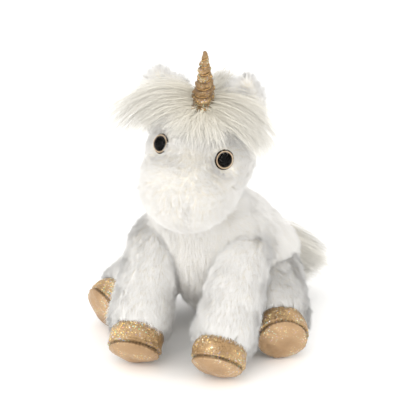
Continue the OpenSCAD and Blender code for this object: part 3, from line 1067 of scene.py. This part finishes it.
def lathe(name, place, profile, around=64):
    """A round piece from [radius, height] pairs that start and end on the axis."""
    points = np.concatenate([ring_points(z, r, around) for r, z in profile])
    faces = ring_faces(len(profile), around)
    obj = new_object(name, mesh_from(name, moved(place, points), faces))
    bm = bmesh.new()
    bm.from_mesh(obj.data)
    bmesh.ops.remove_doubles(bm, verts=bm.verts, dist=1e-7)
    bmesh.ops.recalc_face_normals(bm, faces=bm.faces)
    bm.to_mesh(obj.data)
    bm.free()
    obj.data.polygons.foreach_set("use_smooth", [True] * len(obj.data.polygons))
    return obj


def iris_material(name, place):
    """Painted rings on the back of the eye: black pupil, champagne ring, dark rim."""
    m, tree, shader = material(name, srgb(30, 26, 24), 0.6)
    shader.inputs["Specular IOR Level"].default_value = 0.0
    link = tree.links.new
    where = node(tree, "ShaderNodeTexCoord")
    middle = Vector(moved(place, [0, 0, EYE_BASE])) * MM
    off = node(tree, "ShaderNodeVectorMath", operation="DISTANCE")
    off.inputs[1].default_value = middle
    link(where.outputs["Object"], off.inputs[0])
    scaled = node(tree, "ShaderNodeMath", operation="MULTIPLY")
    scaled.inputs[1].default_value = 1 / (EYE_R * MM)
    link(off.outputs["Value"], scaled.inputs[0])
    rings = ramp(
        tree,
        (
            (0.0, srgb(4, 4, 5)),
            (0.70, srgb(8, 7, 7)),
            (0.73, srgb(110, 90, 72)),
            (0.78, srgb(204, 184, 158)),
            (0.88, srgb(170, 146, 118)),
            (0.92, srgb(32, 25, 21)),
        ),
    )
    link(scaled.outputs[0], rings.inputs["Fac"])
    link(rings.outputs["Color"], shader.inputs["Base Color"])
    return m


def make_eye(side):
    name = "eye_left" if side > 0 else "eye_right"
    place = eye_frame(side)
    ball_r = (EYE_R**2 + EYE_RISE**2) / (2 * EYE_RISE)
    top = EYE_BASE + EYE_RISE
    angles = np.linspace(0, math.asin(EYE_R / ball_r), 17)
    cap = [(ball_r * math.sin(a), top - ball_r * (1 - math.cos(a))) for a in angles]
    dome = lathe(name + "_clear", place, cap)
    dome.data.materials.append(CLEAR)
    dome.visible_shadow = False
    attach(dome, "head")
    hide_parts(name + "_dome")

    # the painted back is dished round the pupil, and ends in a rim and a shank
    disc = [(0, -0.9), (5.3, -0.7), (5.5, -0.45), (6.9, -0.15), (EYE_R, 0.1), (EYE_R + 0.35, -0.6)]
    disc += [(EYE_R, -1.6), (2, -1.8), (2, -12), (0, -12)]
    iris = lathe(name + "_painted", place, [(r, EYE_BASE + z) for r, z in disc])
    iris.data.materials.append(iris_material(name + "_paint", place))
    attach(iris, "head")
    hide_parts(name + "_iris")


def clear_material():
    m, tree, shader = material("clear_plastic", (1, 1, 1, 1), 0.02)
    shader.inputs["Transmission Weight"].default_value = 1.0
    shader.inputs["IOR"].default_value = 1.2
    return m


CLEAR = clear_material()


# ---------- long hair ----------


def bezier(a, b, c, d, steps):
    t = np.linspace(0, 1, steps)[None, :, None]
    a, b, c, d = (x[:, None, :] for x in (a, b, c, d))
    return (1 - t) ** 3 * a + 3 * (1 - t) ** 2 * t * b + 3 * (1 - t) * t * t * c + t**3 * d


def lock(guides, count, root_spread, tip_spread, seed, place=HEAD, length=(0.7, 1.05), gather=0.5):
    """Strands between guide curves of four points each, given in the frame place.

    Each strand follows a mix of two neighbouring guides.
    """
    steps = 8
    count = int(count * (1))
    rng = np.random.default_rng(seed)
    guides = np.array(guides, float)
    pick = rng.random(count) * (len(guides) - 1)
    i = np.minimum(pick.astype(int), len(guides) - 2)
    f = (pick - i)[:, None, None]
    ctrl = guides[i] * (1 - f) + guides[i + 1] * f
    wide = np.linspace(root_spread, tip_spread, 4)[None, :, None]
    off = rng.normal(0, 1, (count, 1, 3))
    ctrl = ctrl + off * wide * 0.5 + rng.normal(0, 0.34, ctrl.shape) * wide
    paths = bezier(*(ctrl[:, k] for k in range(4)), steps * 2)
    # each strand ends at its own length
    keep = rng.uniform(*length, count)
    t = np.linspace(0, 1, steps)[None] * np.minimum(keep, 1)[:, None] * (steps * 2 - 1)
    low = np.minimum(t.astype(int), steps * 2 - 2)
    g = (t - low)[:, :, None]
    rows = np.arange(count)[:, None]
    paths = paths[rows, low] * (1 - g) + paths[rows, low + 1] * g
    # strands wander and clump in locks
    along = np.linspace(0, 1, steps)[None, :, None]
    toward = (tuft_centres(ctrl[:, 3], 7.0, seed) - ctrl[:, 3])[:, None]
    paths = paths + toward * gather * along**2
    wave = rng.normal(0, 0.5, (count, 1, 3)) * np.sin(along * math.pi * 1.5)
    return moved(place, (paths + wave).reshape(-1, 3)).reshape(paths.shape)


def push_out(paths, place, centre, r):
    """Keeps strands outside a ball, so that they lie over it."""
    q = local(place, paths.reshape(-1, 3))
    v = q - centre
    d = np.linalg.norm(v, axis=1, keepdims=True)
    q = centre + v * np.maximum(1, r / np.maximum(d, 1e-6))
    return moved(place, q).reshape(paths.shape)


def hair_piece(name, paths, width, seed, body, nodes):
    """Long hair, lit as a round mass about the head's middle or, on the tail, its own."""
    if body == "head":
        light = unit(paths[:, len(paths[0]) // 2] - moved(HEAD, [0, 0, 0]))
    else:
        middles = paths.mean(1)
        light = unit(middles - (middles.mean(0) - [0, 0, 6]))
    rng = np.random.default_rng(seed)
    obj = strands(name, paths, width * rng.uniform(0.7, 1.3, len(paths)), light, seed, flat=0.8, own=0.5)
    pile_piece(obj, body, LONG_PILE, nodes)


def make_forelock():
    left = [
        [(-9, -8, 43), (-24, -26, 62), (-52, -34, 56), (-90, -32, 6)],
        [(-10, -13, 42), (-24, -32, 56), (-50, -38, 49), (-70, -36, 4)],
        [(-11, -18, 41), (-24, -36, 50), (-44, -40, 41), (-56, -38, 4)],
        [(-10, -24, 39), (-22, -38, 44), (-34, -42, 34), (-42, -41, 14)],
    ]
    middle = [
        [(-10, -28, 36), (-16, -38, 37), (-24, -42, 32), (-28, -44, 25)],
        [(-4, -31, 35), (-6, -41, 34), (-9, -46, 26), (-11, -49, 17)],
        [(2, -31, 35), (4, -41, 34), (8, -46, 26), (10, -49, 17)],
        [(7, -28, 36), (15, -38, 38), (24, -43, 32), (28, -43, 25)],
    ]
    right = [
        [(4, -8, 43), (20, -22, 60), (46, -26, 58), (66, -24, 42)],
        [(5, -13, 42), (22, -28, 54), (48, -30, 48), (68, -28, 16)],
        [(6, -18, 41), (22, -34, 48), (44, -34, 38), (62, -30, 6)],
        [(5, -24, 39), (20, -38, 43), (40, -36, 38), (54, -30, 26)],
    ]
    paths = np.concatenate(
        [
            lock(left, 2400, 5, 7, 201, length=(0.5, 1.1)),
            lock(right, 2100, 5, 9, 211, length=(0.45, 1.08)),
            lock(middle, 1700, 6, 6, 221, length=(0.3, 1.05), gather=0.15),
        ]
    )
    paths = push_out(paths, HEAD, np.zeros(3), SKULL_R - 4)
    hair_piece("forelock_hair", paths, 0.23, 231, "head", ("forelock",))


def make_mane():
    guides = [
        [(-4, -4, 40), (-8, 6, 46), (-12, 16, 48), (-14, 24, 44)],
        [(5, -4, 40), (10, 6, 47), (16, 16, 48), (20, 24, 44)],
        [(0, 8, 42), (0, 22, 58), (4, 38, 54), (6, 46, 40)],
        [(0, 24, 36), (0, 42, 46), (4, 56, 34), (4, 58, 18)],
        [(0, 36, 24), (0, 54, 26), (2, 62, 8), (2, 60, -10)],
        [(0, 43, 4), (0, 58, 0), (2, 60, -16), (2, 54, -30)],
    ]
    paths = lock(guides, 4200, 8, 8, 241, length=(0.5, 0.92))
    paths = push_out(paths, HEAD, np.zeros(3), SKULL_R - 4)
    hair_piece("mane_hair", paths, 0.38, 251, "head", ("mane",))


def make_tail():
    guides = [
        [(-8, -9, -4), (-13, -14, 18), (-16, -22, 40), (-13, -25, 58)],
        [(8, -9, -4), (13, -14, 18), (16, -20, 40), (14, -22, 64)],
        [(8, 7, -4), (14, 9, 20), (15, 5, 42), (12, -6, 71)],
        [(-8, 7, -4), (-13, 9, 20), (-16, 5, 42), (-13, -6, 69)],
        [(0, 0, -4), (0, 0, 20), (0, -6, 43), (0, -12, 69)],
        [(8, -9, -4), (10, -12, 20), (12, -17, 42), (8, -19, 66)],
    ]
    paths = lock(guides, 7500, 7, 8, 261, place=TAIL, length=(0.68, 1.0))
    hair_piece("tail_hair", paths, 0.42, 271, "tail", ("tail_plume", "tail_backing"))


# ---------- camera, floor and light ----------

CAMERA_AZIMUTH, CAMERA_ELEVATION, CAMERA_DISTANCE = 21, 20, 1100
CAMERA_LENS = 123.75
LOOK_AT = np.array([1, -70, 125.0])
WARM = (1, 0.985, 0.96)
TOY_MIDDLE = (0, -60, 110)


def make_camera():
    az, el = math.radians(CAMERA_AZIMUTH), math.radians(CAMERA_ELEVATION)
    back = np.array([math.sin(az) * math.cos(el), -math.cos(az) * math.cos(el), math.sin(el)])
    data = bpy.data.cameras.new("camera")
    data.sensor_width = 36
    data.lens = CAMERA_LENS
    cam = bpy.data.objects.new("camera", data)
    bpy.context.scene.collection.objects.link(cam)
    cam.location = Vector((LOOK_AT + back * CAMERA_DISTANCE) * MM)
    cam.rotation_mode = "QUATERNION"
    cam.rotation_quaternion = Vector(-back).to_track_quat("-Z", "Y")
    bpy.context.scene.camera = cam


def floor_material():
    m, tree, shader = material("paper", srgb(252, 252, 252), 0.9)
    mottle(tree, shader, 3, srgb(251, 251, 251), srgb(254, 254, 254))
    return m


def make_floor():
    reach = 9000
    corners = [(x * reach, y * reach, 0) for x, y in ((-1, -1), (1, -1), (1, 1), (-1, 1))]
    obj = new_object("floor", mesh_from("floor", corners, [(0, 1, 2, 3)]))
    obj.data.materials.append(floor_material())


def softbox(name, at, size, power):
    """A warm rectangular light of so many watts, turned to the toy's middle."""
    data = bpy.data.lights.new(name, "AREA")
    data.shape = "RECTANGLE"
    data.size, data.size_y = size[0] * MM, size[1] * MM
    data.energy = power
    data.color = WARM
    light = bpy.data.objects.new(name, data)
    bpy.context.scene.collection.objects.link(light)
    light.location = Vector(at) * MM
    light.rotation_mode = "QUATERNION"
    light.rotation_quaternion = (Vector(TOY_MIDDLE) - Vector(at)).to_track_quat("-Z", "Y")


def make_light():
    world = bpy.data.worlds.new("studio")
    bpy.context.scene.world = world
    world.use_nodes = True
    sky = world.node_tree.nodes["Background"]
    sky.inputs["Color"].default_value = (1, 0.99, 0.975, 1)
    sky.inputs["Strength"].default_value = 1.2
    softbox("front", (0, -1650, 430), (1500, 700), 5.5)
    softbox("key", (100, -1300, 1150), (900, 700), 4)
    softbox("left", (-1250, -1000, 560), (300, 300), 2.5)
    softbox("right", (1400, -650, 800), (300, 300), 2.5)
    bpy.context.scene.view_settings.view_transform = "Standard"
    bpy.context.scene.view_settings.exposure = 0.08
    # white pile scatters the light many times
    bpy.context.scene.cycles.diffuse_bounces = 24
    bpy.context.scene.cycles.max_bounces = 32


# ---------- build ----------

make_camera()
make_light()
make_floor()
make_torso()
make_seat()
make_neck()
make_head()
for side in (-1, 1):
    make_ear(side)
    make_eye(side)
for order, leg in enumerate(LEGS):
    make_leg(leg, 301 + 10 * order)
    make_hoof(leg, 401 + 10 * order)
make_horn()
make_forelock()
make_mane()
make_tail()
